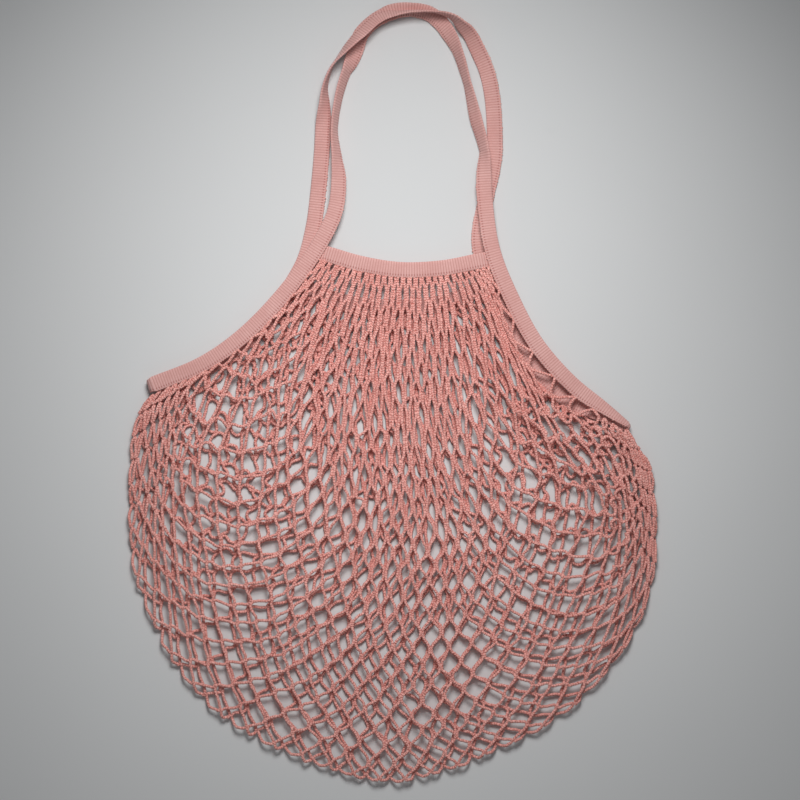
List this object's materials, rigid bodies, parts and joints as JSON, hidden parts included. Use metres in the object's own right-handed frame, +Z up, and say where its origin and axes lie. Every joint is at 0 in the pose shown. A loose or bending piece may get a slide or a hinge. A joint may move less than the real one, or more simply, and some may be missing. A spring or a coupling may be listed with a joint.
{
  "type": "net shopping bag",
  "caption": "Knitted cotton net bag lying flat, its mouth gathered into ribbed tape that runs on as long handles.",
  "frame": {"origin": "on the surface the bag lies on, below the middle of the lying bag with its handles laid out", "axes": "+Y towards the handles, +X to the right as seen from above with the handles away, +Z up"},
  "size_m": [0.4251, 0.6236, 0.0182],
  "materials": {
    "net_cotton": "matt chain-knitted cotton cord, coral",
    "tape_cotton": "matt cross-ribbed cotton tape, pale coral"
  },
  "bodies": {
    "root": {"net": "net_cotton", "strap": "tape_cotton", "front_binding": "tape_cotton", "back_binding": "tape_cotton"}
  },
  "joints": []
}
